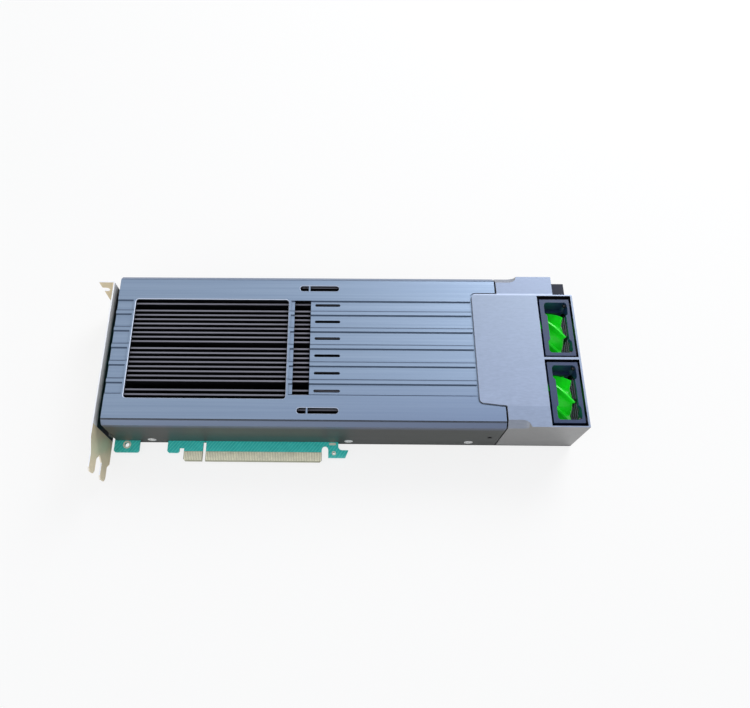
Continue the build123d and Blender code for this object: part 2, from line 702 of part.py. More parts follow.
def pan(head_r, r, head_t, length, drive):
    with BuildPart() as screw:
        with BuildSketch(Plane.XZ):
            Polygon((0, head_t), (head_r, head_t), (head_r, 0), (r, 0), (r, -length), (0, -length), align=None)
        revolve(axis=Axis.Z)
        fillet(screw.edges().sort_by(Axis.Z)[-1], pan_round)
        with BuildSketch(Plane.XY.offset(head_t)):
            RegularPolygon(drive, 6)
        extrude(amount=-drive, mode=Mode.SUBTRACT)
    return screw.part


def fasteners(name, screw, places):
    with BuildPart() as node:
        with Locations(*places):
            add(screw)
    save(node, name)


fasteners("side_screws", countersunk(m3_head_r, m3_r, wall + rail_w - 2 * fit, m3_drive_r),
          [Location((px(u), py(v), side_screw_z), (turn, 0, 0))
           for v, turn in ((side_v, 90), (far_v, -90)) for u in side_screw_x])
fasteners("back_screws", countersunk(m3_head_r, m3_r, back_screw_len, m3_drive_r),
          [Location((x, y, 0), (180, 0, 0)) for x, y in back_spots])
fasteners("bracket_screws", pan(pan_head_r, m3_r, pan_head_t, sheet + bracket_screw_deep, pan_drive_r),
          [Location((px(face_u - sheet), py(v), z), (0, -90, 0)) for v, z in bracket_hole])
fasteners("heatsink_screws", pan(sink_head_r, m3_r, pan_head_t, base_t + sink_screw_deep, m3_drive_r),
          [Location((x, y, base_top)) for x, y in sink_spots])
fasteners("fan_screws", countersunk(fan_head_r, fan_screw_r, end_wall + fan_stand + fan_screw_deep, fan_drive_r),
          [Location((px(card_len), py(v), z), (0, 90, 0)) for v, z in fan_holes])

# Broad twisted fan blade: three sections, each turned further from the axis, lofted together
# and trimmed to the tip circle and to the wall of the hub
hub_wall_r = hub_r - cup_wall / 2
cup_len = cup_x1 - cup_x0
root_z, tip_z = hub_r - root_in, blade_r + tip_over
with BuildPart() as blade:
    for z, chord, thick, turn in ((root_z, root_chord, root_t, root_turn),
                                  ((root_z + tip_z) / 2, (root_chord + tip_chord) / 2, (root_t + tip_t) / 2,
                                   mid_turn), (tip_z, tip_chord, tip_t, tip_turn)):
        with BuildSketch(Plane.XY.offset(z)):
            Rectangle(chord, thick, rotation=turn)
    loft()
    with BuildSketch(Plane.YZ.offset(-cup_len / 2)):
        Circle(blade_r)
        Circle(hub_wall_r, mode=Mode.SUBTRACT)
    extrude(amount=cup_len, mode=Mode.INTERSECT)

# Fans: square frame cut open on top to show the rotor, stator on its tube, rotor on its shaft
port_x0 = fan_x0 + port_in
port_mid = port_x0 + port_len / 2
port_half = fan_w / 2 - port_edge
for side, v in zip(("near", "far"), fan_v):
    facing = Plane(origin=(px(fan_x0), py(v), fan_z), x_dir=(0, 1, 0), z_dir=(1, 0, 0))
    with BuildPart() as frame:
        with BuildSketch(facing):
            Rectangle(fan_w, fan_h)
            Circle(bore_r, mode=Mode.SUBTRACT)
        extrude(amount=fan_d)
        with BuildSketch(facing):
            Circle(base_r)
            for angle in (45, 135):
                Rectangle(2 * (bore_r + fit), strut_w, rotation=angle)
        extrude(amount=frame_floor)
        with BuildSketch(facing.offset(frame_floor)):
            Circle(tube_r)
        extrude(amount=tube_end - frame_floor)
        with BuildSketch(facing.offset(tube_floor)):
            Circle(shaft_r + shaft_clear)
        extrude(amount=tube_end, mode=Mode.SUBTRACT)
        with BuildSketch(facing.offset(fan_d)):
            with GridLocations(2 * fan_hole_y, 2 * fan_hole_z, 2, 2):
                Circle(fan_screw_r)
        extrude(amount=-fan_screw_deep, mode=Mode.SUBTRACT)
        with BuildSketch(Plane.XY.offset(shroud_top - fan_sunk)):
            area(port_mid - port_waist / 2, port_mid + port_waist / 2, v - port_half, v + port_half)
            for end in (-1, 1):
                with Locations((px(port_mid), py(v + end * (port_half - port_end / 2)))):
                    RectangleRounded(port_len, port_end, port_edge)
        extrude(amount=-(fan_h / 2 - port_floor), mode=Mode.SUBTRACT)
    save(frame, "fan_frame_" + side)

    with BuildPart() as stator:
        with BuildSketch(facing.offset(frame_floor + winding_gap)):
            Circle(core_r)
            with PolarLocations(tooth_r, 4):
                Rectangle(tooth_len, tooth_w)
            Circle(tube_r, mode=Mode.SUBTRACT)
        extrude(amount=tube_end - frame_floor - 2 * winding_gap)
    save(stator, "fan_stator_" + side)

    with BuildPart() as rotor:
        with BuildSketch(facing.offset(cup_x0)):
            Circle(hub_r)
        extrude(amount=cup_len)
        fillet(rotor.edges().sort_by(Axis.X)[-1], cup_round)
        with BuildSketch(facing.offset(cup_x0)):
            Circle(hub_r - cup_wall)
        extrude(amount=cup_len - cup_end, mode=Mode.SUBTRACT)
        with BuildSketch(facing.offset(cup_x0 + shaft_start)):
            Circle(shaft_r)
        extrude(amount=cup_len - cup_end)
        with Locations(*[Location((px(fan_x0 + cup_x0 + cup_len / 2), py(v), fan_z), (360 / blade_n * i, 0, 0))
                         for i in range(blade_n)]):
            add(blade.part)
    save(rotor, "fan_rotor_" + side)
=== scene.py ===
"""Looks for the two-slot drive adapter card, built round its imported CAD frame, in metres."""

import math

import bpy
from mathutils import Matrix, Vector


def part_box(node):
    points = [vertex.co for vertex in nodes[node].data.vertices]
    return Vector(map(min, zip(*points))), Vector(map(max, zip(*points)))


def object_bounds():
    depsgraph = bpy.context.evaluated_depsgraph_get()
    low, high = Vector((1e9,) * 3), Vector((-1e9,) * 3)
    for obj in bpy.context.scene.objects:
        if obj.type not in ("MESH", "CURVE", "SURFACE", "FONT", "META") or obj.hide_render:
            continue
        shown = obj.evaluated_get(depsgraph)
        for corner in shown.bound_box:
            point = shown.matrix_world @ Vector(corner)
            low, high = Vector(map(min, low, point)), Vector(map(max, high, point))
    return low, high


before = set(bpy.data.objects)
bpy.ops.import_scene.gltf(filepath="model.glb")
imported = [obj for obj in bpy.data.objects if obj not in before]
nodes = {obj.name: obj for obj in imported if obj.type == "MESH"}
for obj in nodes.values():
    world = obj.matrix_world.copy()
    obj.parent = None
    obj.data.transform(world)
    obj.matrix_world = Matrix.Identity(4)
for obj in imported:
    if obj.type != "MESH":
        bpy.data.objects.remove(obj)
cad_low, cad_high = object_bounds()
scene = bpy.context.scene
MM = 0.001

# Photograph's camera, solved from the contact edge, the cover and the fan bays
IMAGE_W, IMAGE_H = 750, 708
FOCAL_PX = 693.64
CENTRE_PX = (328.9, 350.4)
SENSOR = 36.0
CAM_YAW, CAM_DIP, CAM_ROLL = -0.0306, 1.1544, -0.0207
CAM_AT = Vector((2.70, -157.97, 420.63)) * MM
CLIP_NEAR, CLIP_FAR = 0.01, 20

# Places on the cover, from its own box, as the source has them
PANEL_IN = 15.5 * MM
FLUTE_D = 0.85 * MM
CREASE_D = 0.46 * MM
ROOF = 2.1 * MM
WINDOW_X = (11.3 * MM, 106.8 * MM)
WINDOW_Y = (16.1 * MM, 81.5 * MM)
SLOT_X = (113.0 * MM, 138.6 * MM)
SLOT_IN, SLOT_HALF = 8.9 * MM, 2.4 * MM
RIM = 0.42 * MM

# Painted shade lines along the panel's folds, a pitch apart
FOLD_Y, FOLD_PITCH, FOLD_GAPS = 28.5 * MM, 11.35 * MM, 4
FOLD_HALF, FOLD_SOFT, FOLD_REACH = 0.6 * MM, 0.3 * MM, 2 * MM
FOLD_SHARE = 0.7

# Soft changes of painted shade: down the cover's side, and towards its near tail corner
SHOULDER_DOWN, SHOULDER_SOFT = 6.0 * MM, 2.0 * MM
CORNER_SHADE_X, CORNER_SHADE_X_SOFT = 120 * MM, 110 * MM
CORNER_SHADE_Y, CORNER_SHADE_Y_SOFT = 16 * MM, 22 * MM

# Places on the shroud, from its own box
BAY_LEN = 22.0 * MM
LIP = 0.7 * MM
SKIN = 0.35 * MM
BAND_IN = 12.6 * MM
CREST_HALF, CREST_SOFT = 0.5 * MM, 0.4 * MM
CREST_PITCH = 200 * MM  # wider than the card, so that there is one line
PANEL_FADE = 40 * MM

# Painted shade in the gap between bracket and cover, bare laminate round the contacts, bare tips of
# the fins
GAP_DOWN, GAP_SOFT = 6.2 * MM, 0.8 * MM
BARE_ENDS, BARE_BACK = 1 * MM, 0.2 * MM
TIP = 0.15 * MM

# Parts of a face's normal between which a mask changes from one end to the other
FLAT_TOP = (0.45, 0.98)
OFF_TOP = (0.9, 0.78)
OFF_SIDE = (0.3, 0.6)
OFF_FRAME_TOP, OFF_FRAME_SIDE = (0.97, 0.85), (0.15, 0.35)
TO_TAIL = (0.4, 0.8)
UPRIGHT = (0.1, 0.3)

# Colours, linear; a pair is the low and the high end of a noise
COVER_STREAKS = ((0.165, 0.230, 0.345), (0.215, 0.290, 0.410))
COVER_BRUSHED = (0.270, 0.350, 0.475)
# Painted shade: the cover's upright side, paler near its top, its near tail corner and its inside
COVER_SIDE_SHADE = (0.088, 0.092, 0.086)
COVER_SHOULDER_SHADE = (0.152, 0.180, 0.262)
COVER_CORNER_SHADE = (0.120, 0.168, 0.284)
COVER_INSIDE_SHADE = (0.015, 0.015, 0.018)
# Painted shade on the walls of the cover's cuts
COVER_CUT_SHADE = (0.020, 0.022, 0.028)
# Painted shade on the flute walls, along the folds and in the crease
FLUTE_SHADE = (0.050, 0.078, 0.130)
FOLD_SHADE = (0.100, 0.140, 0.210)
CREASE_SHADE = (0.045, 0.048, 0.055)
# Bare cut metal on the window and slot rims, with a painted highlight
WINDOW_RIM_BARE_AND_LIT = (0.62, 0.70, 0.86)
SLOT_RIM_BARE_AND_LIT = (0.50, 0.57, 0.72)
# Painted shading of the shroud's silver top: paler near than far, darker on the fold bands
PANEL_NEAR = ((0.225, 0.275, 0.390), (0.253, 0.309, 0.440))
PANEL_FAR = ((0.184, 0.228, 0.310), (0.208, 0.256, 0.350))
BAND_NEAR = ((0.192, 0.240, 0.345), (0.218, 0.270, 0.388))
BAND_FAR = ((0.178, 0.219, 0.312), (0.200, 0.247, 0.350))
# Painted highlight along the shroud's far fold
CREST_HIGHLIGHT = (0.340, 0.400, 0.540)
# Painted shading of the shroud's upright sides, paler and greyer than its top
SHROUD_SIDE = ((0.31, 0.305, 0.300), (0.37, 0.365, 0.360))
# Painted shade inside the shroud's fan bays and guard
BAY_SHADE = (0.008, 0.009, 0.014)
NICKEL = ((0.87, 0.76, 0.54), (0.93, 0.81, 0.58))
# Painted highlight on the bracket's inner face and edge, painted shade down in its gap
NICKEL_INNER_HIGHLIGHT = (0.95, 0.97, 1.0)
NICKEL_EDGE_HIGHLIGHT = (0.88, 0.90, 0.95)
GAP_SHADE = (0.020, 0.025, 0.040)
FRAME_DARK = ((0.012, 0.032, 0.098), (0.020, 0.044, 0.124))
# Painted highlight on the fan frames' broken edges
FRAME_EDGE_HIGHLIGHT = (0.210, 0.260, 0.400)
FIN_BLACK = ((0.002, 0.002, 0.003), (0.007, 0.007, 0.010))
FIN_TIP = ((0.150, 0.150, 0.185), (0.240, 0.240, 0.285))
MASK_TEAL = ((0.024, 0.620, 0.560), (0.036, 0.720, 0.650))
TRACE_TEAL = (0.130, 0.860, 0.770)
LAMINATE = ((0.46, 0.46, 0.31), (0.56, 0.55, 0.40))
ROTOR_DYE = ((0.010, 0.62, 0.016), (0.018, 0.78, 0.028))
# Painted light: a faint glow that brightens the rotors
ROTOR_PAINTED_LIGHT, PAINTED_LIGHT_STRENGTH = (0.008, 0.60, 0.012, 1), 0.28
WHITE = (1, 1, 1, 1)

# Roughness, also the low and the high end of a noise, and depth of the bump
COVER_ROUGH, COVER_BUMP = (0.34, 0.48), 0.000012
SHROUD_ROUGH, SHROUD_BUMP = (0.36, 0.46), 0.00001
NICKEL_ROUGH = (0.34, 0.39)
FRAME_ROUGH = (0.36, 0.48)
FIN_ROUGH = (0.5, 0.65)
MASK_ROUGH, MASK_BUMP = (0.28, 0.4), 0.00003
ROTOR_ROUGH, ROTOR_BUMP = (0.30, 0.42), 0.00001
BUMP_STRENGTH, USUAL_BUMP = 0.5, 0.00002

# Share of the brushed lines on the cover, and half the width of a sharp mask's edge
BRUSHED_SHARE = 0.5
MASK_SOFT = 0.0001

# Traces under the solder mask
TRACE_TURN = math.radians(38)
TRACE_WAVE = {"Scale": 190, "Distortion": 2.5, "Detail Scale": 0.6}
TRACE_SHARE, TRACE_FROM, TRACE_TO = 0.55, 0.62, 0.8

# Grain of the plain finishes
PLAIN_GRAIN = 400
PLAIN_SHADES = (0.88, 1.12)
PLAIN_ROUGH = 0.06

# Floor, sky and lamps, the lamps from the middle of the card
FLOOR_HALF, FLOOR_DOWN = 6.0, 0.0002
FLOOR_COLOUR, FLOOR_ROUGH, FLOOR_GLOW = (0.86, 0.86, 0.86, 1), 0.9, 0.8
SKY_COLOUR, SKY_STRENGTH = (0.93, 0.96, 1.0, 1), 0.55
LAMPS = {  # place, size, watts
    "key": ((0.55, 0.80, 0.75), 0.6, 9.0),
    "fill": ((-0.6, -0.6, 0.6), 0.8, 1.4),
    "top": ((0.0, 0.1, 1.0), 0.9, 0.6),
}

# Width of the small broken edge of each pressed or moulded piece
EDGES = {
    "top_cover": 0.12 * MM,
    "tail_shroud": 0.15 * MM,
    "bracket": 0.12 * MM,
    "fan_frame_near": 0.25 * MM,
    "fan_frame_far": 0.25 * MM,
    "power_inlet": 0.25 * MM,
}
EDGE_SEGMENTS, EDGE_ANGLE = 2, math.radians(35)
WELD_REACH = 0.00001


def place_camera():
    """Camera at the photograph's angle: yaw about Z, dip below the horizon, roll about the view."""
    flat = math.cos(CAM_DIP)
    ahead = Vector((math.sin(CAM_YAW) * flat, math.cos(CAM_YAW) * flat, -math.sin(CAM_DIP)))
    right = Vector((math.cos(CAM_YAW), -math.sin(CAM_YAW), 0))
    up = right.cross(ahead)
    side = right * math.cos(CAM_ROLL) + up * math.sin(CAM_ROLL)
    top = up * math.cos(CAM_ROLL) - right * math.sin(CAM_ROLL)
    data = bpy.data.cameras.new("photo_camera")
    data.sensor_width = SENSOR
    data.lens = FOCAL_PX * SENSOR / IMAGE_W
    data.shift_x = (IMAGE_W / 2 - CENTRE_PX[0]) / IMAGE_W
    data.shift_y = (CENTRE_PX[1] - IMAGE_H / 2) / IMAGE_W
    data.clip_start, data.clip_end = CLIP_NEAR, CLIP_FAR
    camera = bpy.data.objects.new("photo_camera", data)
    scene.collection.objects.link(camera)
    turn = Matrix((side, top, -ahead)).transposed().to_4x4()
    camera.matrix_world = Matrix.Translation(CAM_AT) @ turn
    scene.camera = camera


class Paint:
    """A procedural material: noises and masks on the object's own coordinates and normals."""

    def __init__(self, name, metallic=0.0, coat=0.0, spec=0.5):
        self.material = bpy.data.materials.new(name)
        self.material.use_nodes = True
        self.tree = self.material.node_tree
        self.shader = self.tree.nodes["Principled BSDF"]
        self.shader.inputs["Metallic"].default_value = metallic
        self.shader.inputs["Coat Weight"].default_value = coat
        self.shader.inputs["Specular IOR Level"].default_value = spec
        self.coord = self.new("ShaderNodeTexCoord")

    def new(self, kind, **values):
        """A node of this kind with these settings."""
        node = self.tree.nodes.new(kind)
        for key, value in values.items():
            setattr(node, key, value)
        return node

    def link(self, a, b):
        self.tree.links.new(a, b)

    def part(self, output, axis):
        """One part of the object coordinates or of the normal."""
        split = self.new("ShaderNodeSeparateXYZ")
        self.link(self.coord.outputs[output], split.inputs[0])
        return split.outputs[axis]

    def mapped(self, socket, value):
        """Object coordinates with a scale or a turn."""
        mapping = self.new("ShaderNodeMapping")
        mapping.inputs[socket].default_value = value
        self.link(self.coord.outputs["Object"], mapping.inputs["Vector"])
        return mapping.outputs[0]

    def noise(self, scale, stretch=(1, 1, 1), detail=3.0):
        """A noise on the object coordinates; a low stretch draws it out along that axis."""
        field = self.new("ShaderNodeTexNoise")
        field.inputs["Scale"].default_value = scale
        field.inputs["Detail"].default_value = detail
        self.link(self.mapped("Scale", stretch), field.inputs["Vector"])
        return field.outputs["Fac"]

    def ramp(self, value, low, high, start=0.3, end=0.7):
        """A colour from low to high as the value goes from start to end."""
        node = self.new("ShaderNodeValToRGB")
        for stop, place, colour in zip(node.color_ramp.elements, (start, end), (low, high)):
            stop.position = place
            stop.color = (*colour, 1)
        self.link(value, node.inputs[0])
        return node.outputs["Color"]

    def remap(self, value, low, high, start=0.3, end=0.7):
        """A number from low to high as the value goes from start to end."""
        node = self.new("ShaderNodeMapRange")
        limits = {"From Min": start, "From Max": end, "To Min": low, "To Max": high}
        for socket, number in limits.items():
            node.inputs[socket].default_value = number
        self.link(value, node.inputs["Value"])
        return node.outputs[0]

    def mix(self, share, a, b):
        """Colour a where the share is 0 and b where it is 1; each a tuple or a node's output."""
        node = self.new("ShaderNodeMix", data_type="RGBA")
        self.link(share, node.inputs["Factor"])
        for name, colour in (("A", a), ("B", b)):
            socket = next(s for s in node.inputs if s.name == name and s.type == "RGBA")
            if isinstance(colour, tuple):
                socket.default_value = (*colour, 1)
            else:
                self.link(colour, socket)
        return next(s for s in node.outputs if s.type == "RGBA")

    def times(self, product, *others):
        """The product of masks."""
        for other in others:
            node = self.new("ShaderNodeMath", operation="MULTIPLY")
            self.link(product, node.inputs[0])
            self.link(other, node.inputs[1])
            product = node.outputs[0]
        return product

    def above(self, axis, height, soft=MASK_SOFT, rising=True):
        """0 below a height along an object axis and 1 above it, or the other way round."""
        low, high = (0, 1) if rising else (1, 0)
        return self.remap(self.part("Object", axis), low, high, height - soft, height + soft)

    def within(self, low, high):
        """1 inside a box given by its low and high corners, 0 outside; None leaves a side open."""
        masks = []
        for axis, a, b in zip("XYZ", low, high):
            for edge, rising in ((a, True), (b, False)):
                if edge is not None:
                    masks.append(self.above(axis, edge, rising=rising))
        return self.times(*masks)

    def bands(self, axis, first, pitch, half, soft):
        """1 on lines a pitch apart along an object axis, 0 between them."""
        shift = self.new("ShaderNodeMath", operation="SUBTRACT")
        shift.inputs[1].default_value = first
        self.link(self.part("Object", axis), shift.inputs[0])
        away = self.new("ShaderNodeMath", operation="PINGPONG")
        away.inputs[1].default_value = pitch / 2
        self.link(shift.outputs[0], away.inputs[0])
        return self.remap(away.outputs[0], 1, 0, half - soft, half + soft)

    def facing(self, limits, axis="Z"):
        """0 to 1 as one part of the face's normal goes from the first limit to the second."""
        return self.remap(self.part("Normal", axis), 0, 1, *limits)

    def finish(self, colour, rough, bump=None, depth=USUAL_BUMP):
        """The material, once its colour, roughness and bump reach the shader."""
        self.link(colour, self.shader.inputs["Base Color"])
        self.link(rough, self.shader.inputs["Roughness"])
        if bump is not None:
            node = self.new("ShaderNodeBump")
            node.inputs["Strength"].default_value = BUMP_STRENGTH
            node.inputs["Distance"].default_value = depth
            self.link(bump, node.inputs["Height"])
            self.link(node.outputs[0], self.shader.inputs["Normal"])
        return self.material


def plain(name, colour, metallic, rough, spec=0.5):
    """A finish of one colour with a fine grain in it."""
    paint = Paint(name, metallic, spec=spec)
    grain = paint.noise(PLAIN_GRAIN)
    dark, pale = (tuple(c * share for c in colour) for share in PLAIN_SHADES)
    roughness = paint.remap(grain, rough - PLAIN_ROUGH, rough + PLAIN_ROUGH)
    return paint.finish(paint.ramp(grain, dark, pale), roughness, grain)


def brushed_cover():
    """Blue-grey anodised sheet brushed lengthwise, with painted shade on its upright sides, in its
    folds and cuts, and bare rims with a painted highlight.
    """
    paint = Paint("cover_brushed", metallic=0.5)
    fine = paint.noise(scale=900, stretch=(0.01, 1, 1), detail=4)
    broad = paint.noise(scale=60, stretch=(0.05, 1, 1), detail=2)
    low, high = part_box("top_cover")

    # Flat top, with painted shade towards its near tail corner, over sides in painted shade
    streaks = paint.mix(broad, *COVER_STREAKS)
    top = paint.mix(paint.remap(fine, 0, BRUSHED_SHARE), streaks, COVER_BRUSHED)
    corner_shade = paint.times(paint.above("X", low.x + CORNER_SHADE_X, CORNER_SHADE_X_SOFT),
                       paint.above("Y", low.y + CORNER_SHADE_Y, CORNER_SHADE_Y_SOFT, rising=False))
    top = paint.mix(corner_shade, top, COVER_CORNER_SHADE)
    shoulder = paint.above("Z", high.z - SHOULDER_DOWN, SHOULDER_SOFT)
    side = paint.mix(shoulder, COVER_SIDE_SHADE, COVER_SHOULDER_SHADE)
    # Painted shade on upward faces down inside the cover
    outside = paint.above("Z", high.z - SHOULDER_DOWN)
    colour = paint.mix(paint.facing(FLAT_TOP), side, paint.mix(outside, COVER_INSIDE_SHADE, top))

    # Painted shade on the flute walls, along the fold lines and in the crease along the near bevel
    panel = ((low.x, low.y + PANEL_IN, high.z - FLUTE_D), (None, high.y - PANEL_IN, None))
    flutes = paint.times(paint.facing(OFF_TOP), paint.within(*panel))
    colour = paint.mix(flutes, colour, FLUTE_SHADE)
    first = low.y + FOLD_Y
    folded = ((low.x, first - FOLD_REACH, high.z - FLUTE_D),
              (None, first + FOLD_GAPS * FOLD_PITCH + FOLD_REACH, None))
    lines = paint.times(paint.bands("Y", first, FOLD_PITCH, FOLD_HALF, FOLD_SOFT),
                        paint.within(*folded))
    colour = paint.mix(paint.remap(lines, 0, FOLD_SHARE, 0, 1), colour, FOLD_SHADE)
    crease = paint.times(paint.facing(OFF_TOP), paint.above("Z", high.z - CREASE_D),
                         paint.above("Y", low.y + PANEL_IN, rising=False))
    colour = paint.mix(crease, colour, CREASE_SHADE)

    # Bare rims of window and slots with a painted highlight; painted shade on every cut's walls
    rim = paint.times(paint.facing(OFF_SIDE), paint.facing(OFF_TOP))
    window = ((low.x + WINDOW_X[0] - RIM, low.y + WINDOW_Y[0] - RIM, high.z - RIM),
              (low.x + WINDOW_X[1] + RIM, low.y + WINDOW_Y[1] + RIM, None))
    colour = paint.mix(paint.times(rim, paint.within(*window)), colour, WINDOW_RIM_BARE_AND_LIT)
    for y in (low.y + SLOT_IN, high.y - SLOT_IN):
        slot = ((low.x + SLOT_X[0], y - SLOT_HALF, high.z - RIM),
                (low.x + SLOT_X[1], y + SLOT_HALF, None))
        colour = paint.mix(paint.times(rim, paint.within(*slot)), colour, SLOT_RIM_BARE_AND_LIT)
    upright = paint.remap(paint.part("Normal", "Z"), 1, 0, *UPRIGHT)
    cut = paint.times(upright, paint.above("Z", high.z - ROOF))
    colour = paint.mix(cut, colour, COVER_CUT_SHADE)
    return paint.finish(colour, paint.remap(broad, *COVER_ROUGH), fine, COVER_BUMP)


def satin_shroud():
    """Silver sheet, a fold along each side; painted shading, and painted shade in the bays and
    guard.
    """
    paint = Paint("shroud_satin", metallic=0.45)
    fine = paint.noise(scale=1100, stretch=(0.3, 1, 1), detail=4)
    low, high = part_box("tail_shroud")
    # Painted shading: the top paler on its near half, darker on the bands along its folds
    farther = paint.above("Y", (low.y + high.y) / 2, PANEL_FADE)
    top = paint.mix(farther, paint.ramp(fine, *PANEL_NEAR), paint.ramp(fine, *PANEL_FAR))
    top = paint.mix(paint.above("Y", low.y + BAND_IN), paint.ramp(fine, *BAND_NEAR), top)
    top = paint.mix(paint.above("Y", high.y - BAND_IN), top, paint.ramp(fine, *BAND_FAR))
    # Painted highlight along the far fold
    crest = paint.bands("Y", high.y - BAND_IN, CREST_PITCH, CREST_HALF, CREST_SOFT)
    top = paint.mix(crest, top, CREST_HIGHLIGHT)
    # Painted shading: the upright sides paler and greyer than the top
    colour = paint.mix(paint.facing(FLAT_TOP), paint.ramp(fine, *SHROUD_SIDE), top)
    # Painted shade inside the fan bays and the guard
    bays = ((high.x - BAY_LEN, low.y + LIP, low.z), (high.x - SKIN, None, high.z - SKIN))
    colour = paint.mix(paint.within(*bays), colour, BAY_SHADE)
    return paint.finish(colour, paint.remap(fine, *SHROUD_ROUGH), fine, SHROUD_BUMP)


def bracket_nickel():
    """Warm nickel plate with a painted highlight on its edge and inner face, painted shade down in
    the gap to the cover.
    """
    paint = Paint("bracket_nickel", metallic=0.4)
    grain = paint.noise(scale=200)
    low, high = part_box("top_cover")
    inner = paint.times(paint.facing(TO_TAIL, "X"),
                        paint.within((None, low.y, None), (None, high.y, None)))
    # Painted highlight on the inner face and on the upward edge
    colour = paint.mix(inner, paint.ramp(grain, *NICKEL), NICKEL_INNER_HIGHLIGHT)
    colour = paint.mix(paint.facing(FLAT_TOP), colour, NICKEL_EDGE_HIGHLIGHT)
    # Painted shade down in the gap to the cover
    deep = paint.above("Z", high.z - GAP_DOWN, GAP_SOFT, rising=False)
    colour = paint.mix(paint.times(inner, deep), colour, GAP_SHADE)
    return paint.finish(colour, paint.remap(grain, *NICKEL_ROUGH))


def fan_frame_blue():
    """Blue-black moulding with a painted highlight on its broken edges."""
    paint = Paint("fan_frame_blue", spec=0.4)
    grain = paint.noise(scale=400)
    edge = paint.times(paint.facing(OFF_FRAME_TOP), paint.facing(OFF_FRAME_SIDE))
    colour = paint.mix(edge, paint.ramp(grain, *FRAME_DARK), FRAME_EDGE_HIGHLIGHT)
    return paint.finish(colour, paint.remap(grain, *FRAME_ROUGH), grain)


def finned_black():
    """Black anodised metal, its fin tips rubbed bare."""
    paint = Paint("heatsink_black", spec=0.2)
    grain = paint.noise(scale=700, stretch=(0.02, 1, 1))
    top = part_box("heatsink_fins")[1].z
    colour = paint.mix(paint.above("Z", top - TIP), paint.ramp(grain, *FIN_BLACK),
                       paint.ramp(grain, *FIN_TIP))
    return paint.finish(colour, paint.remap(grain, *FIN_ROUGH), grain)


def solder_mask():
    """Teal mask with a comb of slanting traces under it, and bare laminate at the contact edge."""
    paint = Paint("board_mask", coat=0.3)
    grain = paint.noise(scale=300)
    wave = paint.new("ShaderNodeTexWave", wave_type="BANDS", bands_direction="X")
    for socket, number in TRACE_WAVE.items():
        wave.inputs[socket].default_value = number
    paint.link(paint.mapped("Rotation", (0, 0, TRACE_TURN)), wave.inputs["Vector"])
    traces = paint.remap(wave.outputs["Fac"], 0, TRACE_SHARE, TRACE_FROM, TRACE_TO)
    mask = paint.mix(traces, paint.ramp(grain, *MASK_TEAL), TRACE_TEAL)
    low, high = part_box("edge_contacts")
    bare = paint.within((low.x - BARE_ENDS, None, None),
                        (high.x + BARE_ENDS, high.y + BARE_BACK, None))
    colour = paint.mix(bare, mask, paint.ramp(grain, *LAMINATE))
    return paint.finish(colour, paint.remap(grain, *MASK_ROUGH), wave.outputs["Fac"], MASK_BUMP)


def rotor_green():
    """Bright green moulding with a faint glow, painted light that brightens it in the frames."""
    paint = Paint("rotor_green", coat=0.1, spec=0.3)
    grain = paint.noise(scale=350)
    paint.shader.inputs["Emission Color"].default_value = ROTOR_PAINTED_LIGHT
    paint.shader.inputs["Emission Strength"].default_value = PAINTED_LIGHT_STRENGTH
    colour = paint.ramp(grain, *ROTOR_DYE)
    return paint.finish(colour, paint.remap(grain, *ROTOR_ROUGH), grain, ROTOR_BUMP)


FINISHES = {
    "top_cover": brushed_cover,
    "tail_shroud": satin_shroud,
    "heatsink": finned_black,
    "heatsink_fins": finned_black,
    "board": solder_mask,
    "fan_rotor": rotor_green,
    "bracket": bracket_nickel,
    "fan_frame": fan_frame_blue,
}
PLAIN = {  # name, colour, metallic, roughness and, where it isn't 0.5, specular level
    "edge_contacts": ("gold_contacts", (0.90, 0.88, 0.69), 0.5, 0.36),
    "plated_rings": ("gold_rings", (0.85, 0.86, 0.72), 0.3, 0.34),
    "inlet_pins": ("gold_pins", (0.60, 0.46, 0.20), 0.9, 0.3),
    "back_plate": ("plate_black", (0.022, 0.022, 0.025), 0.2, 0.5),
    "side_rail": ("rail_metal", (0.50, 0.51, 0.53), 0.9, 0.35),
    "board_spacers": ("spacer_brass", (0.55, 0.42, 0.18), 0.95, 0.35),
    "drive_posts": ("post_brass", (0.55, 0.42, 0.18), 0.95, 0.35),
    "switch_chip": ("chip_black", (0.03, 0.03, 0.035), 0.0, 0.45),
    "drive_chips": ("memory_black", (0.03, 0.03, 0.035), 0.0, 0.5),
    "chip_pad": ("pad_grey", (0.35, 0.36, 0.42), 0.0, 0.8),
    "drive_pads": ("pads_grey", (0.35, 0.36, 0.42), 0.0, 0.8),
    "drive_boards": ("stick_mask", (0.010, 0.035, 0.026), 0.0, 0.4),
    "drive_sockets": ("socket_black", (0.02, 0.02, 0.02), 0.0, 0.5),
    "power_inlet": ("inlet_black", (0.022, 0.026, 0.045), 0.0, 0.5, 0.15),
    "inlet_riser": ("riser_teal", (0.02, 0.22, 0.19), 0.0, 0.45),
    "power_coils": ("coil_grey", (0.08, 0.08, 0.09), 0.1, 0.6),
    "power_cans": ("can_metal", (0.62, 0.62, 0.65), 0.9, 0.3),
    "side_screws": ("side_screw_bright", (0.93, 0.93, 0.92), 0.3, 0.3),
    "back_screws": ("back_screw_black", (0.05, 0.05, 0.055), 0.6, 0.35),
    "bracket_screws": ("bracket_screw_zinc", (0.66, 0.66, 0.68), 0.9, 0.3),
    "heatsink_screws": ("sink_screw_zinc", (0.60, 0.60, 0.62), 0.9, 0.3),
    "drive_screws": ("drive_screw_zinc", (0.60, 0.60, 0.62), 0.9, 0.3),
    "fan_screws": ("fan_screw_black", (0.04, 0.04, 0.045), 0.6, 0.35),
    "fan_stator": ("winding_copper", (0.45, 0.19, 0.07), 0.8, 0.35),
}


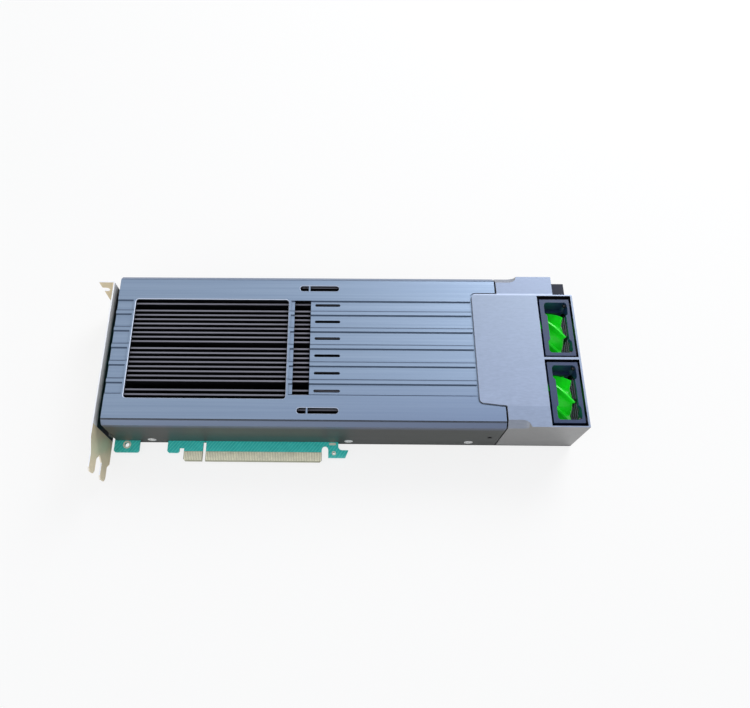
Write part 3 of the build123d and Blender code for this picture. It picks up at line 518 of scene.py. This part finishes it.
def dress():
    """A finish on every piece; a near and a far piece of one kind share theirs."""
    made = {}
    for name, node in sorted(nodes.items()):
        key = name if name in FINISHES or name in PLAIN else name.rsplit("_", 1)[0]
        if key not in made:
            made[key] = FINISHES[key]() if key in FINISHES else plain(*PLAIN[key])
        node.data.materials.clear()
        node.data.materials.append(made[key])


def soften(name, width):
    """A small broken edge that catches the light, as pressed and moulded parts have."""
    node = nodes[name]
    weld = node.modifiers.new("weld", "WELD")
    weld.merge_threshold = WELD_REACH
    bevel = node.modifiers.new("edge", "BEVEL")
    bevel.width, bevel.segments = width, EDGE_SEGMENTS
    bevel.limit_method, bevel.angle_limit = "ANGLE", EDGE_ANGLE
    bevel.harden_normals = True


def lay_floor():
    """Pale floor that takes the card's shadow and shows nearly white to the camera."""
    half = FLOOR_HALF
    floor = bpy.data.meshes.new("floor")
    corners = [(-half, -half, 0), (half, -half, 0), (half, half, 0), (-half, half, 0)]
    floor.from_pydata(corners, [], [(0, 1, 2, 3)])
    ground = bpy.data.objects.new("floor", floor)
    scene.collection.objects.link(ground)
    ground.location.z = -FLOOR_DOWN
    material = bpy.data.materials.new("floor_pale")
    material.use_nodes = True
    tree = material.node_tree
    base = tree.nodes["Principled BSDF"]
    base.inputs["Base Color"].default_value = FLOOR_COLOUR
    base.inputs["Roughness"].default_value = FLOOR_ROUGH
    glow = tree.nodes.new("ShaderNodeEmission")
    glow.inputs["Color"].default_value = WHITE
    path = tree.nodes.new("ShaderNodeLightPath")
    share = tree.nodes.new("ShaderNodeMath")
    share.operation = "MULTIPLY"
    share.inputs[1].default_value = FLOOR_GLOW
    mix = tree.nodes.new("ShaderNodeMixShader")
    tree.links.new(path.outputs["Is Camera Ray"], share.inputs[0])
    tree.links.new(share.outputs[0], mix.inputs[0])
    tree.links.new(base.outputs[0], mix.inputs[1])
    tree.links.new(glow.outputs[0], mix.inputs[2])
    tree.links.new(mix.outputs[0], tree.nodes["Material Output"].inputs[0])
    floor.materials.append(material)


def hang_sky():
    """Soft sky for the light, white to the camera and in what glass and gloss show."""
    world = bpy.data.worlds.new("studio")
    scene.world = world
    world.use_nodes = True
    tree = world.node_tree
    sky = tree.nodes["Background"]
    sky.inputs["Color"].default_value = SKY_COLOUR
    sky.inputs["Strength"].default_value = SKY_STRENGTH
    white = tree.nodes.new("ShaderNodeBackground")
    white.inputs["Color"].default_value = WHITE
    path = tree.nodes.new("ShaderNodeLightPath")
    either = tree.nodes.new("ShaderNodeMath")
    any_ray = tree.nodes.new("ShaderNodeMath")
    either.operation = any_ray.operation = "MAXIMUM"
    mix = tree.nodes.new("ShaderNodeMixShader")
    tree.links.new(path.outputs["Is Camera Ray"], either.inputs[0])
    tree.links.new(path.outputs["Is Transmission Ray"], either.inputs[1])
    tree.links.new(either.outputs[0], any_ray.inputs[0])
    tree.links.new(path.outputs["Is Glossy Ray"], any_ray.inputs[1])
    tree.links.new(any_ray.outputs[0], mix.inputs[0])
    tree.links.new(sky.outputs[0], mix.inputs[1])
    tree.links.new(white.outputs[0], mix.inputs[2])
    tree.links.new(mix.outputs[0], tree.nodes["World Output"].inputs[0])


def hang_lamps():
    """Soft area lamps that all look at the middle of the card."""
    middle = (cad_low + cad_high) / 2
    for name, (at, size, watts) in LAMPS.items():
        data = bpy.data.lights.new(name, "AREA")
        data.size, data.energy = size, watts
        lamp = bpy.data.objects.new(name, data)
        scene.collection.objects.link(lamp)
        lamp.location = middle + Vector(at)
        lamp.rotation_euler = (middle - lamp.location).to_track_quat("-Z", "Y").to_euler()


dress()
for name, width in EDGES.items():
    soften(name, width)
lay_floor()
hang_sky()
hang_lamps()
place_camera()
scene.view_settings.view_transform = "Standard"
